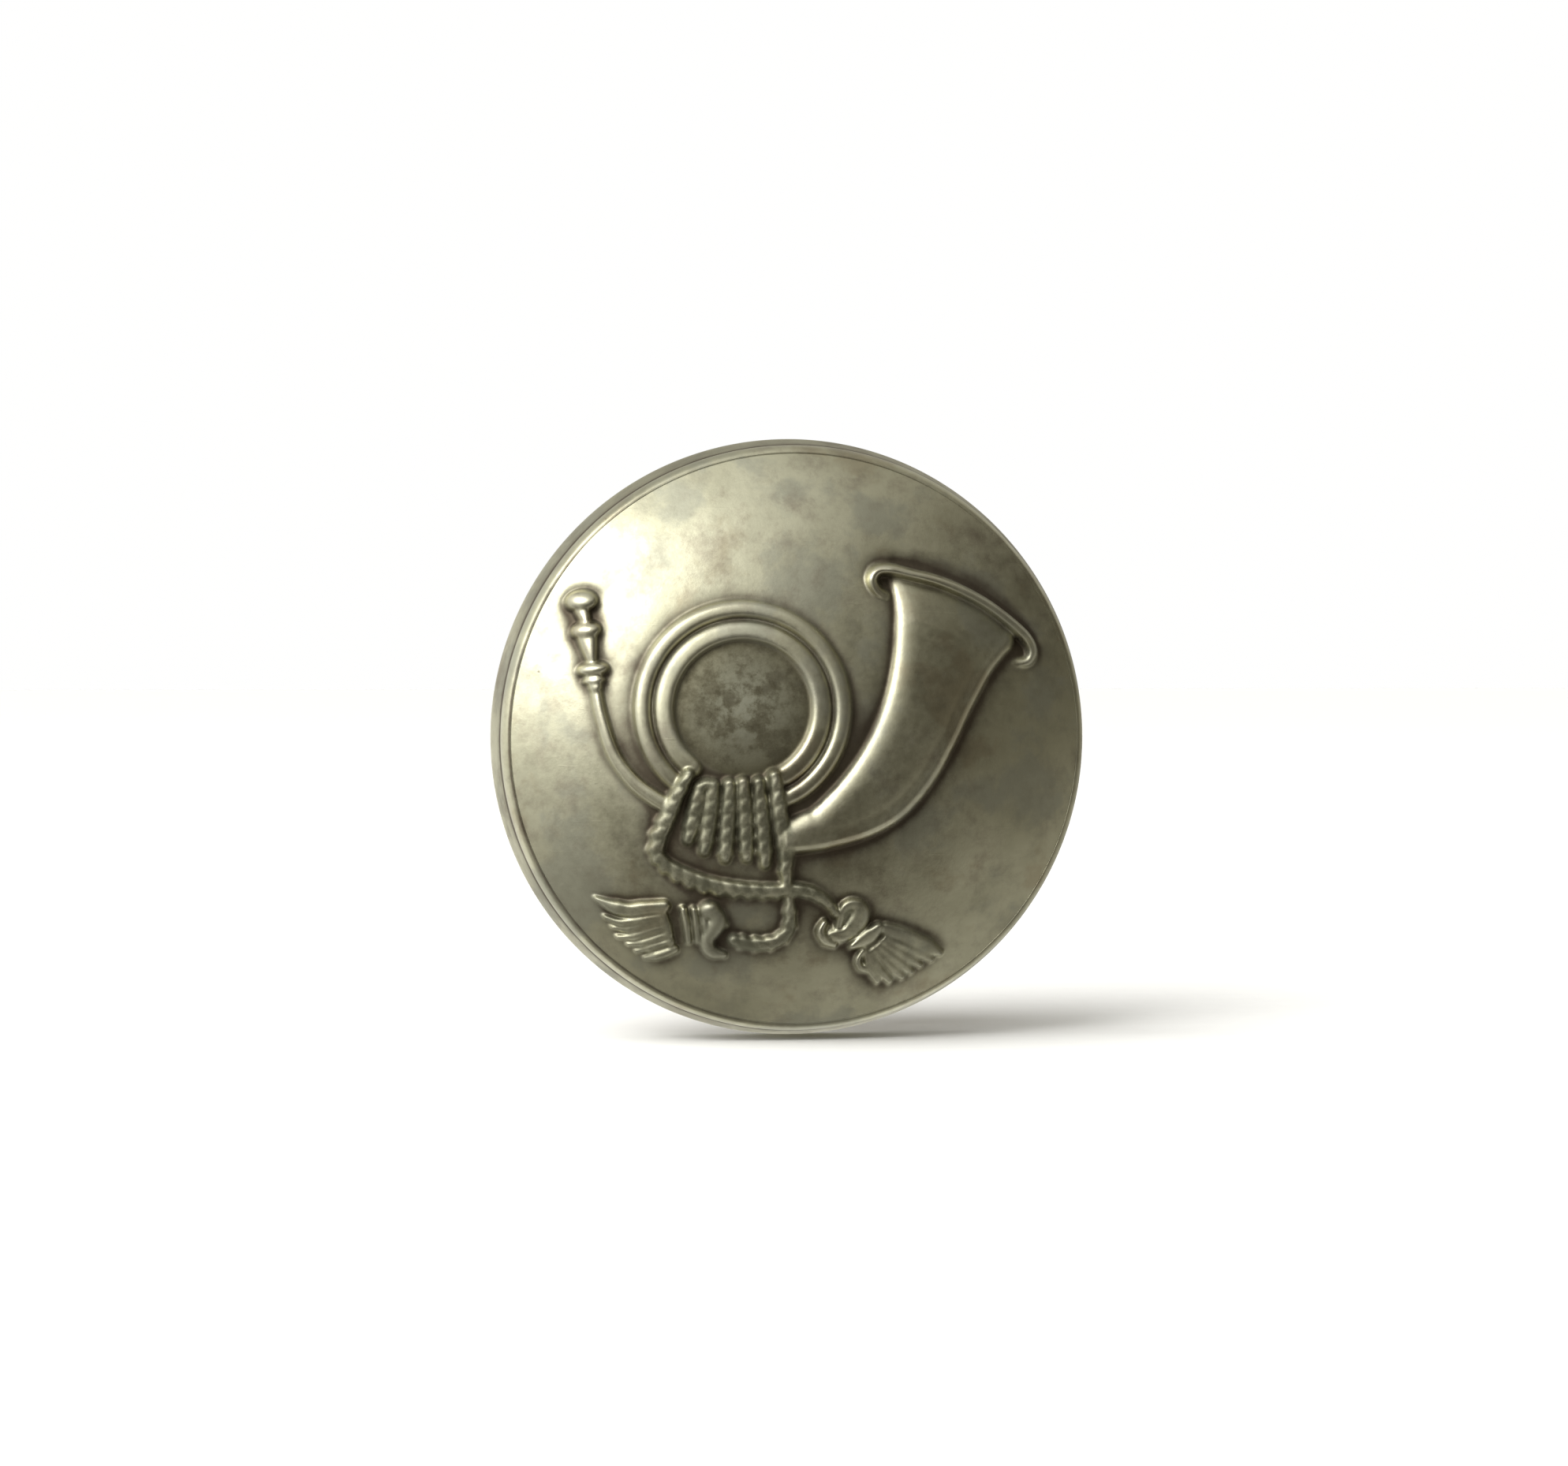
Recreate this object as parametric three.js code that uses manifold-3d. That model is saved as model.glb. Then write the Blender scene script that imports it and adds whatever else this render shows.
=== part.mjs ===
// Cap badge: a domed sheet-metal shell struck with a curled hunting horn, closed by a back plate
// and fastened to the cap by a screw stud, a clamp plate and a thumb nut.
//
// Millimetres, +Z up as the badge is worn. The face looks along -Y and the stud points along +Y.
// The origin is the centre of the back plate's rear face, where the badge sits on the cap.

import * as THREE from 'three';
import * as BufferGeometryUtils from 'three/addons/utils/BufferGeometryUtils.js';
import Module from 'manifold-3d';

// ---- Driving dimensions ----

const BADGE_RADIUS = 13.5;
const SHEET = 0.4; // thickness of the struck shell

const SEAM_RADIUS = 12.7; // the dome ends here in a fine groove
const SEAM_Y = -3.1;
const DOME_RISE = 3.55;

const LIP_INNER_RADIUS = 11.75; // the edge is turned in at the back to this radius

const BACK_PLATE_SHEET = 0.5;
const BACK_PLATE_RADIUS = 12.9;
const BACK_FLAT_RADIUS = 11.2;

const STUD_RADIUS = 1.5; // outside of an M3 thread
const STUD_TIP_Y = 7.2;
const STUD_CHAMFER = 0.35;
const STUD_HEAD_RADIUS = 2.9;
const STUD_HEAD_THICKNESS = 0.8;
const FIXED_HOLE_RADIUS = 1.6;
const RUNNING_HOLE_RADIUS = 1.58;

const WASHER_RADIUS = 4.6;
const WASHER_THICKNESS = 0.5;

const CARD_RADIUS = 12.4;
const CARD_HOLE_RADIUS = 5;
const CARD_THICKNESS = 1;

const PIN_SPACING = 19.2; // between the two locating pins
const PIN_RADIUS = 0.45;
const PIN_FOOT_RADIUS = 0.85;
const PIN_LENGTH = 2.4;

const CLAMP_RADIUS = 7.5;
const CLAMP_SHEET = 0.5;
const CLAMP_DISH = 0.5;
const CLAMP_REST_GAP = 2.4; // room for the cap cloth

const NUT_PLAY = 0.05;
const NUT_DISC_RADIUS = 6;
const NUT_DISC_THICKNESS = 0.9;
const KNURLS = 40;
const KNURL_DEPTH = 0.25;
const BUSH_NECK_RADIUS = 2.25;
const BUSH_FLANGE_RADIUS = 2.7;
const BUSH_FLANGE = 0.27;
const BUSH_COLLAR = 0.35;

const FINE_SEGMENTS = 36;
const ROUND_SEGMENTS = 60; // on the pieces as wide as the badge

// ---- Materials ----

const metal = (color, roughness) => new THREE.MeshStandardMaterial({ color, roughness, metalness: 1 });
const nickelSilver = metal(0xa49c80, 0.38);
const agedBrass = metal(0x9a8555, 0.45);
const brightBrass = metal(0xb79a5c, 0.4);
const pasteboard = new THREE.MeshStandardMaterial({ color: 0x9b835f, roughness: 0.95, metalness: 0 });

// ---- The dome ----

const domeRadius = (SEAM_RADIUS ** 2 + DOME_RISE ** 2) / (2 * DOME_RISE);
const domeCentre = new THREE.Vector3(0, SEAM_Y - DOME_RISE + domeRadius, 0);

const domeY = (radius) => domeCentre.y - Math.sqrt(domeRadius ** 2 - radius ** 2);

const onDome = ([x, z]) => new THREE.Vector3(x, domeY(Math.hypot(x, z)), z);

// ---- The horn in relief ----
// Points are [x, z] on the face, seen from the front with +X to the right. Each raised shape is a strip of
// cross-sections lying on the dome, from a left and a right edge point, with its underside sunk in the sheet.

const ROUND = [[1, 0], [0.75, 0.75], [0, 1], [-0.75, 0.75], [-1, 0], [0, -1]];
const BROAD = [[1, 0], [0.9, 0.75], [0, 1], [-0.9, 0.75], [-1, 0], [0, -1]];
const SUNK = 0.25;

// Skins a row of equal rings of points. An open row is closed by a fan at each end.
function skin(rings, loop) {
  const count = rings[0].length;
  const points = rings.flat();
  const indices = [];
  const joints = loop ? rings.length : rings.length - 1;
  for (let k = 0; k < joints; k++) {
    const near = k * count;
    const far = ((k + 1) % rings.length) * count;
    for (let i = 0; i < count; i++) {
      const j = (i + 1) % count;
      indices.push(near + i, far + i, far + j, near + i, far + j, near + j);
    }
  }
  if (!loop) {
    const last = (rings.length - 1) * count;
    for (let i = 1; i + 1 < count; i++) {
      indices.push(0, i, i + 1);
      indices.push(last, last + i + 1, last + i);
    }
  }
  const geometry = new THREE.BufferGeometry().setFromPoints(points);
  geometry.setIndex(indices);
  return geometry;
}

function strip(stations, height, section = ROUND, loop = false) {
  const rings = stations.map(([left, right]) => {
    const centre = onDome(left).lerp(onDome(right), 0.5);
    const half = onDome(right).sub(centre);
    const out = centre.clone().sub(domeCentre).normalize();
    return section.map(([across, up]) =>
      centre
        .clone()
        .addScaledVector(half, across)
        .addScaledVector(out, up * (up > 0 ? height : SUNK)),
    );
  });
  return skin(rings, loop);
}

// A strip of the given half width along a path. The width may be a function of the place along it, 0 to 1.
function bar(path, halfWidth, height, loop = false) {
  const widthAt = typeof halfWidth === 'function' ? halfWidth : () => halfWidth;
  const last = path.length - 1;
  const stations = path.map(([x, z], i) => {
    const [beforeX, beforeZ] = path[loop ? (i + last) % path.length : Math.max(i - 1, 0)];
    const [afterX, afterZ] = path[loop ? (i + 1) % path.length : Math.min(i + 1, last)];
    const length = Math.hypot(afterX - beforeX, afterZ - beforeZ);
    const width = widthAt(i / last);
    const sideX = (width * (beforeZ - afterZ)) / length;
    const sideZ = (width * (afterX - beforeX)) / length;
    return [[x + sideX, z + sideZ], [x - sideX, z - sideZ]];
  });
  return strip(stations, height, ROUND, loop);
}

const bulging = (halfWidth) => (along) => halfWidth * Math.sqrt(1.12 - (2 * along - 1) ** 2);

const mix = ([ax, az], [bx, bz], amount) => [ax + (bx - ax) * amount, az + (bz - az) * amount];

function curve(points, pieces) {
  const spline = new THREE.SplineCurve(points.map(([x, z]) => new THREE.Vector2(x, z)));
  return spline.getPoints(pieces).map(({ x, y }) => [x, y]);
}

function circle([x, z], radius, pieces) {
  return Array.from({ length: pieces }, (_, i) => {
    const angle = (i / pieces) * 2 * Math.PI;
    return [x + radius * Math.cos(angle), z + radius * Math.sin(angle)];
  });
}

const COIL_CENTRE = [-2.75, 1.4];
const TUBE_HEIGHT = 0.5;
const CORD_WIDTH = 0.27;
const CORD_HEIGHT = 0.5;
const BELL_HEIGHT = 0.6;
const LIP_HEIGHT = 0.8;

function horn() {
  const innerEdge = curve([[-0.9, -3.3], [0.36, -2.73], [1.62, -1.44], [3.51, 1.83], [4.01, 3.95], [3.9, 7]], 10);
  const outerEdge = curve([[-0.9, -4.9], [1.06, -4.73], [4.4, -3.32], [6.67, -0.22], [8.3, 2.84], [9.5, 4.3]], 10);
  const lip = [[3.3, 6.3], [2.8, 7.1], [3.3, 7.65], [4.5, 7.5], [7.35, 6.4], [9.8, 4.95], [10.5, 4], [9.7, 3.3]];
  const leadPipe = curve([[-9.1, 2.7], [-8.84, 1.11], [-8.31, -0.55], [-7.51, -1.71], [-5.6, -3]], 8);
  const mouthBeads = [[-9.49, 6.14], [-9.33, 4.77], [-9.16, 3.13]];
  return [
    bar(circle(COIL_CENTRE, 4.33, 36), 0.34, TUBE_HEIGHT, true),
    bar(circle(COIL_CENTRE, 3.42, 30), 0.39, TUBE_HEIGHT, true),
    strip(outerEdge.map((right, i) => [innerEdge[i], right]), BELL_HEIGHT, BROAD),
    bar(curve(lip, 14), 0.27, LIP_HEIGHT),
    bar(leadPipe, (along) => 0.22 + 0.12 * along, TUBE_HEIGHT),
    bar([[-9.49, 6.3], [-9.1, 2.5]], 0.4, 0.4),
    ...mouthBeads.map(([x, z]) => bar(curve([[x - 0.65, z], [x + 0.65, z]], 4), bulging(0.38), 0.6)),
  ];
}

function cord() {
  const wraps = 5;
  const strands = Array.from({ length: wraps }, (_, i) => {
    const across = i / (wraps - 1);
    const top = mix([-4.6, -1.7], [-2.08, -1.6], across);
    return [top, mix([-5.14, -4.5], [-1.71, -5.5], across)];
  });
  const left = curve([[-5.24, -1.2], [-5.96, -3.17], [-6.33, -4.5], [-5.9, -5.6]], 5);
  const right = [[-1.4, -1.2], [-1.02, -4.09], [-0.72, -6.24], [-0.66, -8.18], [-1.69, -9.07], [-3.3, -8.9]];
  const swag = [[-5.95, -5.5], [-4.4, -6.24], [-1.47, -6.66], [0.53, -6.71], [1.6, -7.6]];
  return [...strands, left, curve(right, 10), curve(swag, 6)].map((path) => bar(path, CORD_WIDTH, CORD_HEIGHT));
}

// A fan of strands from a row of roots to a row of tips.
function tassel(strands, firstRoot, lastRoot, firstTip, lastTip) {
  return Array.from({ length: strands }, (_, i) => {
    const across = i / (strands - 1);
    const path = curve([mix(firstRoot, lastRoot, across), mix(firstTip, lastTip, across)], 1);
    return bar(path, (along) => 0.24 * (1 - 0.5 * along), 0.4);
  });
}

function tasselsAndKnots() {
  const collarRibs = [-5.1, -4.8, -4.5].map((x) => curve([[x, -7.35], [x, -8.8]], 3));
  const lobes = [
    [[-4.5, -7.45], [-3.6, -7.75]],
    [[-4.2, -8.2], [-3.7, -9.4]],
    [[1.8, -7.4], [2.6, -7.6]],
    [[0.7, -8.2], [2, -8.6]],
    [[2, -8], [2.9, -9]],
  ].map((ends) => curve(ends, 4));
  return [
    ...tassel(7, [-5.8, -7.2], [-5.5, -9.3], [-8.9, -7], [-6.8, -9.5]),
    ...tassel(8, [2.9, -9.3], [3.8, -8.2], [3.7, -10.7], [6.5, -9.5]),
    ...collarRibs.map((path) => bar(path, bulging(0.16), 0.5)),
    ...lobes.map((path) => bar(path, bulging(0.42), 0.55)),
  ];
}

// ---- Struck shell ----

const wasm = await Module();
wasm.setup();

function toSolid(geometry) {
  const bare = geometry.clone();
  bare.deleteAttribute('normal');
  bare.deleteAttribute('uv');
  const welded = BufferGeometryUtils.mergeVertices(bare);
  return new wasm.Manifold(
    new wasm.Mesh({
      numProp: 3,
      vertProperties: new Float32Array(welded.attributes.position.array),
      triVerts: new Uint32Array(welded.index.array),
    }),
  );
}

function toGeometry(solid) {
  const { vertProperties, triVerts } = solid.getMesh();
  const geometry = new THREE.BufferGeometry();
  geometry.setAttribute('position', new THREE.BufferAttribute(vertProperties, 3));
  geometry.setIndex(new THREE.BufferAttribute(triVerts, 1));
  geometry.computeVertexNormals();
  return geometry;
}

// The blank before striking: dome, groove, shoulder, flared wall and the edge turned in at the back.
function shellBlank() {
  const arcPieces = 6;
  const outerArc = [];
  const innerArc = [];
  for (let i = 0; i <= arcPieces; i++) {
    const radius = (SEAM_RADIUS * i) / arcPieces;
    outerArc.push([radius, domeY(radius)]);
    innerArc.unshift([radius * 0.97, domeY(radius * 0.97) + SHEET]);
  }
  return lathe(
    [
      ...outerArc,
      [SEAM_RADIUS + 0.03, SEAM_Y + 0.1],
      [SEAM_RADIUS + 0.1, SEAM_Y + 0.06],
      [12.97, -2.78],
      [13.09, -2.4],
      [13.14, -2.05],
      [13.42, -1],
      [BADGE_RADIUS, -0.5],
      [13.42, -0.15],
      [13.2, 0],
      [LIP_INNER_RADIUS, 0],
      [LIP_INNER_RADIUS, -SHEET],
      [12.95, -SHEET],
      [13.08, -0.6],
      [13, -1.1],
      [12.72, -2.05],
      ...innerArc,
    ],
    ROUND_SEGMENTS,
  );
}

function frontShell() {
  const raised = [...horn(), ...cord(), ...tasselsAndKnots()].map(toSolid);
  return toGeometry(raised.reduce((shell, shape) => shell.add(shape), toSolid(shellBlank())));
}

// ---- Turned and stamped pieces ----

const lathe = (profile, segments = FINE_SEGMENTS) =>
  new THREE.LatheGeometry(profile.map(([radius, y]) => new THREE.Vector2(radius, y)), segments);

const closed = (profile) => [...profile, profile[0]];

function backPlate() {
  const rearOfRim = -SHEET - 0.02;
  const frontOfRim = rearOfRim - BACK_PLATE_SHEET;
  return lathe(
    closed([
      [FIXED_HOLE_RADIUS, -BACK_PLATE_SHEET],
      [BACK_FLAT_RADIUS - 0.2, -BACK_PLATE_SHEET],
      [BACK_FLAT_RADIUS + 0.3, frontOfRim],
      [BACK_PLATE_RADIUS, frontOfRim],
      [BACK_PLATE_RADIUS, rearOfRim],
      [BACK_FLAT_RADIUS + 0.42, rearOfRim],
      [BACK_FLAT_RADIUS, 0],
      [FIXED_HOLE_RADIUS, 0],
    ]),
    ROUND_SEGMENTS,
  );
}

function packingCard() {
  const rear = -SHEET - BACK_PLATE_SHEET - 0.05;
  const front = rear - CARD_THICKNESS;
  return lathe(
    closed([[CARD_HOLE_RADIUS, front], [CARD_RADIUS, front], [CARD_RADIUS, rear], [CARD_HOLE_RADIUS, rear]]),
    ROUND_SEGMENTS,
  );
}

function reinforcingWasher() {
  const rear = -BACK_PLATE_SHEET;
  const front = rear - WASHER_THICKNESS;
  return lathe(
    closed([
      [FIXED_HOLE_RADIUS, front],
      [WASHER_RADIUS - 0.15, front],
      [WASHER_RADIUS, front + 0.15],
      [WASHER_RADIUS, rear],
      [FIXED_HOLE_RADIUS, rear],
    ]),
  );
}

function threadedStud() {
  const rearOfHead = -BACK_PLATE_SHEET - WASHER_THICKNESS;
  const frontOfHead = rearOfHead - STUD_HEAD_THICKNESS;
  return lathe([
    [0, frontOfHead],
    [STUD_HEAD_RADIUS - 0.2, frontOfHead],
    [STUD_HEAD_RADIUS, frontOfHead + 0.2],
    [STUD_HEAD_RADIUS, rearOfHead],
    [STUD_RADIUS, rearOfHead],
    [STUD_RADIUS, STUD_TIP_Y - STUD_CHAMFER],
    [STUD_RADIUS - STUD_CHAMFER, STUD_TIP_Y],
    [0, STUD_TIP_Y],
  ]);
}

function locatingPin() {
  return lathe(
    [
      [0, 0],
      [PIN_FOOT_RADIUS, 0],
      [PIN_FOOT_RADIUS, 0.1],
      [PIN_RADIUS, 0.45],
      [PIN_RADIUS, PIN_LENGTH - 0.7],
      [0, PIN_LENGTH],
    ],
    16,
  );
}

const clampRimFront = CLAMP_REST_GAP;
const clampCentreFront = clampRimFront + CLAMP_DISH;
const nutFront = clampCentreFront + CLAMP_SHEET + NUT_PLAY;
const discFront = nutFront + BUSH_FLANGE + 0.02;
const discRear = discFront + NUT_DISC_THICKNESS;

function clampPlate() {
  const outer = CLAMP_RADIUS;
  const edge = 0.12;
  return lathe(
    closed([
      [RUNNING_HOLE_RADIUS, clampCentreFront],
      [3.2, clampCentreFront],
      [6, clampRimFront],
      [outer - edge, clampRimFront],
      [outer, clampRimFront + edge],
      [outer, clampRimFront + CLAMP_SHEET - edge],
      [outer - edge, clampRimFront + CLAMP_SHEET],
      [6.1, clampRimFront + CLAMP_SHEET],
      [3.3, clampCentreFront + CLAMP_SHEET],
      [RUNNING_HOLE_RADIUS, clampCentreFront + CLAMP_SHEET],
    ]),
    ROUND_SEGMENTS,
  );
}

function nutBush() {
  const rear = discRear + 0.02 + BUSH_COLLAR;
  const edge = 0.1;
  return lathe(
    closed([
      [RUNNING_HOLE_RADIUS, nutFront],
      [BUSH_FLANGE_RADIUS, nutFront],
      [BUSH_FLANGE_RADIUS, discFront - 0.02],
      [BUSH_NECK_RADIUS, discFront - 0.02],
      [BUSH_NECK_RADIUS, discRear + 0.02],
      [BUSH_FLANGE_RADIUS - edge, discRear + 0.02],
      [BUSH_FLANGE_RADIUS - edge, rear - edge],
      [BUSH_FLANGE_RADIUS - 2 * edge, rear],
      [RUNNING_HOLE_RADIUS + edge, rear],
      [RUNNING_HOLE_RADIUS, rear - edge],
    ]),
  );
}

// The knurled outline is extruded along the badge's axis.
function nutDisc() {
  const bevel = 0.12;
  const outline = [];
  for (let i = 0; i < 2 * KNURLS; i++) {
    const angle = (i / KNURLS) * Math.PI;
    const radius = NUT_DISC_RADIUS - bevel - (i % 2) * KNURL_DEPTH;
    outline.push(new THREE.Vector2(radius * Math.cos(angle), radius * Math.sin(angle)));
  }
  const shape = new THREE.Shape(outline);
  const hole = new THREE.Path();
  hole.absarc(0, 0, BUSH_NECK_RADIUS + 0.05 + bevel, 0, 2 * Math.PI, true);
  shape.holes.push(hole);
  return new THREE.ExtrudeGeometry(shape, {
    depth: NUT_DISC_THICKNESS - 2 * bevel,
    curveSegments: 16,
    bevelThickness: bevel,
    bevelSize: bevel,
    bevelSegments: 1,
  }).translate(0, 0, bevel);
}

// ---- Assembly ----

function addPiece(group, name, geometry, material) {
  const mesh = new THREE.Mesh(geometry, material);
  mesh.name = name;
  group.add(mesh);
  return mesh;
}

const badge = new THREE.Group();
addPiece(badge, 'front_shell', frontShell(), nickelSilver);
addPiece(badge, 'back_plate', backPlate(), agedBrass);
addPiece(badge, 'packing_card', packingCard(), pasteboard);
addPiece(badge, 'reinforcing_washer', reinforcingWasher(), agedBrass);
addPiece(badge, 'threaded_stud', threadedStud(), brightBrass);
addPiece(badge, 'left_locating_pin', locatingPin(), brightBrass).position.x = -PIN_SPACING / 2;
addPiece(badge, 'right_locating_pin', locatingPin(), brightBrass).position.x = PIN_SPACING / 2;
addPiece(badge, 'clamp_plate', clampPlate(), agedBrass);

const nut = new THREE.Group();
addPiece(nut, 'nut_bush', nutBush(), brightBrass);
const disc = addPiece(nut, 'nut_disc', nutDisc(), brightBrass);
disc.position.y = discFront;
disc.rotation.x = -Math.PI / 2;
badge.add(nut);

export default badge;
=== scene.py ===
"""Looks of the cap badge: a struck nickel-silver shell with a horn in relief, and its brass fastening.

Sizes are in millimetres in the badge's own frame (+Z up, the face looks along -Y) and are multiplied by MM
when a mesh is made. Points on the face are (x, z), seen from the front with +X to the right.
"""

import math
from types import SimpleNamespace

import bpy
import numpy as np
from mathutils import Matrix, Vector


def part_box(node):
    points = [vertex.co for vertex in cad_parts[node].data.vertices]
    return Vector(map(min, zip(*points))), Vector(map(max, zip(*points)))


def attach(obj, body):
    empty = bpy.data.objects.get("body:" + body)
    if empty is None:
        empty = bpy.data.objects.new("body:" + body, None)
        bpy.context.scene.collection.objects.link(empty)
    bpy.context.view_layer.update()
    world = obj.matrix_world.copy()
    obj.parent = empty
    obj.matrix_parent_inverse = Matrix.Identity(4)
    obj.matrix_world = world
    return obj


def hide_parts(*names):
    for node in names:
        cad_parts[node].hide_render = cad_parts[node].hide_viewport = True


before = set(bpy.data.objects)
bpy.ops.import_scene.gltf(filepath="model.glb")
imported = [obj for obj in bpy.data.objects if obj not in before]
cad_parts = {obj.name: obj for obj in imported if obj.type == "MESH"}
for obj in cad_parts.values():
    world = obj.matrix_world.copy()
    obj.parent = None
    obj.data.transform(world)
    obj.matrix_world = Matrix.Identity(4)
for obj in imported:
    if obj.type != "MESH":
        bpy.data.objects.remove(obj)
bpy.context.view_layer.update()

MM = 0.001


def node_box(node):
    """Lowest and highest corner of a CAD node in millimetres."""
    low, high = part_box(node)
    return low / MM, high / MM


# ---- Driving sizes, from the frame ----

SHELL_LOW, SHELL_HIGH = node_box("front_shell")
BADGE_RADIUS = SHELL_HIGH.x
SEAM_RADIUS = BADGE_RADIUS - 0.8
SEAM_Y = -3.1
DOME_RISE = 3.55
DOME_RADIUS = (SEAM_RADIUS**2 + DOME_RISE**2) / (2 * DOME_RISE)
DOME_CENTRE_Y = SEAM_Y - DOME_RISE + DOME_RADIUS
SHEET = 0.4
FLOOR_Z = SHELL_LOW.z

# ---- Camera, floor and light ----

CAMERA_DISTANCE = 133
CAMERA_LEFT = math.radians(7)
CAMERA_UP = math.radians(1.5)
CAMERA_AIM = Vector((-0.32, -1, 0.21))
LENS = 67.6
FLOOR_HALF = 1600
DARKEST_ROOM = 0.085
WARM_SHADE = (1.0, 0.92, 0.74)
WARM_WHITE = (1.0, 0.99, 0.93)


def look_from(obj, place, aim):
    """Puts a camera or a light at a place in millimetres and points it at another."""
    obj.location = place * MM
    obj.rotation_mode = "QUATERNION"
    obj.rotation_quaternion = (aim - place).to_track_quat("-Z", "Y")


def make_camera():
    """The photo's view: from the front, a little to the left and from above."""
    data = bpy.data.cameras.new("camera")
    data.lens = LENS
    data.clip_start = 0.001
    data.clip_end = 20
    camera = bpy.data.objects.new("camera", data)
    bpy.context.scene.collection.objects.link(camera)
    toward = Vector((
        -math.sin(CAMERA_LEFT) * math.cos(CAMERA_UP),
        -math.cos(CAMERA_LEFT) * math.cos(CAMERA_UP),
        math.sin(CAMERA_UP),
    ))
    look_from(camera, Vector((0, -1, 0)) + toward * CAMERA_DISTANCE, CAMERA_AIM)
    bpy.context.scene.camera = camera


class Nodes:
    """Short names for building a node tree."""

    def __init__(self, tree):
        self.tree = tree

    def add(self, kind, **settings):
        """A new node. inputs holds what goes into it: values or outputs of other nodes."""
        node = self.tree.nodes.new(kind)
        inputs = settings.pop("inputs", {})
        for name, value in settings.items():
            setattr(node, name, value)
        for key, value in inputs.items():
            self.put(node, key, value)
        return node

    def put(self, node, key, value):
        if isinstance(value, bpy.types.NodeSocket):
            self.tree.links.new(value, node.inputs[key])
        else:
            node.inputs[key].default_value = value

    def math(self, operation, *values, clamp=False):
        node = self.add("ShaderNodeMath", operation=operation, use_clamp=clamp)
        for index, value in enumerate(values):
            self.put(node, index, value)
        return node.outputs[0]

    def fade(self, value, start, end, low=0.0, high=1.0):
        """Goes smoothly from low to high while value goes from start to end."""
        node = self.add("ShaderNodeMapRange", interpolation_type="SMOOTHSTEP")
        for index, number in enumerate((value, start, end, low, high)):
            self.put(node, index, number)
        return node.outputs[0]

    def noise(self, vector, scale, detail=3.0, roughness=0.55):
        node = self.add("ShaderNodeTexNoise", inputs={"Vector": vector, "Scale": scale, "Detail": detail})
        node.inputs["Roughness"].default_value = roughness
        return node.outputs[0]

    def attribute(self, name):
        return self.add("ShaderNodeAttribute", attribute_name=name).outputs["Fac"]

    def bump(self, height, strength, distance, below=None, invert=False):
        """A normal roughened by height, on top of another bump if one is given. distance is in metres."""
        inputs = {"Height": height, "Strength": strength, "Distance": distance}
        if below is not None:
            inputs["Normal"] = below
        return self.add("ShaderNodeBump", inputs=inputs, invert=invert).outputs[0]

    def mix(self, factor, first, second):
        node = self.add("ShaderNodeMix", data_type="RGBA")
        self.put(node, 0, factor)
        self.put(node, 6, first if isinstance(first, bpy.types.NodeSocket) else (*first, 1))
        self.put(node, 7, second if isinstance(second, bpy.types.NodeSocket) else (*second, 1))
        return node.outputs[2]


def room_in_front(n, axes):
    """Brightness of the room in front of the badge: a bright sky above left, and a glow low at the sides."""
    above_left = n.math("SUBTRACT", axes[2], n.math("MULTIPLY", axes[0], 0.8), clamp=True)
    overhead = n.fade(axes[2], 0.7, 0.95, 1.05, 0.5)
    sky = n.math("MULTIPLY", n.math("POWER", above_left, 1.3), overhead)
    forward = n.math("MULTIPLY", axes[1], -1.0)
    steep = n.fade(forward, 0.25, 0.5, n.fade(axes[0], -0.2, 0.3, 0.3, 0.9), 1)
    sideways = n.math("MULTIPLY", n.fade(forward, 0.75, 0.45, 0, 0.38), steep)
    lower = n.math("SUBTRACT", 0.3, n.math("MULTIPLY", axes[2], 1.2), clamp=True)
    return n.math("ADD", n.math("ADD", sky, n.math("MULTIPLY", sideways, lower)), DARKEST_ROOM)


def make_world():
    """A pale studio. In reflections it is bright above left, dark on the right and pale behind the badge."""
    world = bpy.data.worlds.new("studio")
    world.use_nodes = True
    bpy.context.scene.world = world
    n = Nodes(world.node_tree)
    world.node_tree.nodes.clear()
    direction = n.add("ShaderNodeTexCoord").outputs["Generated"]
    axes = n.add("ShaderNodeSeparateXYZ", inputs={0: direction}).outputs
    room = room_in_front(n, axes)
    behind = n.fade(axes[1], 0.0, 0.45)
    wall = n.fade(n.math("ADD", axes[0], axes[2]), 0.5, -0.4, 0.45, 0.95)
    brightness = n.math("ADD", n.math("MULTIPLY", room, n.math("SUBTRACT", 1.0, behind)),
                        n.math("MULTIPLY", behind, wall))
    tint = n.mix(n.fade(brightness, 0.1, 0.6), WARM_SHADE, WARM_WHITE)
    seen = n.add("ShaderNodeLightPath").outputs["Is Camera Ray"]
    lit = n.add("ShaderNodeBackground", inputs={"Color": tint, "Strength": brightness})
    pale = n.add("ShaderNodeBackground", inputs={"Color": (1.0, 1.0, 0.995, 1), "Strength": 1.0})
    blend = n.add("ShaderNodeMixShader", inputs={0: seen, 1: lit.outputs[0], 2: pale.outputs[0]})
    n.add("ShaderNodeOutputWorld", inputs={0: blend.outputs[0]})


def new_material(name):
    """A material, the helper for its nodes, its shader and the place on the object that its textures use."""
    material = bpy.data.materials.new(name)
    material.use_nodes = True
    n = Nodes(material.node_tree)
    return material, n, n.tree.nodes["Principled BSDF"], n.add("ShaderNodeTexCoord").outputs["Object"]


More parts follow.
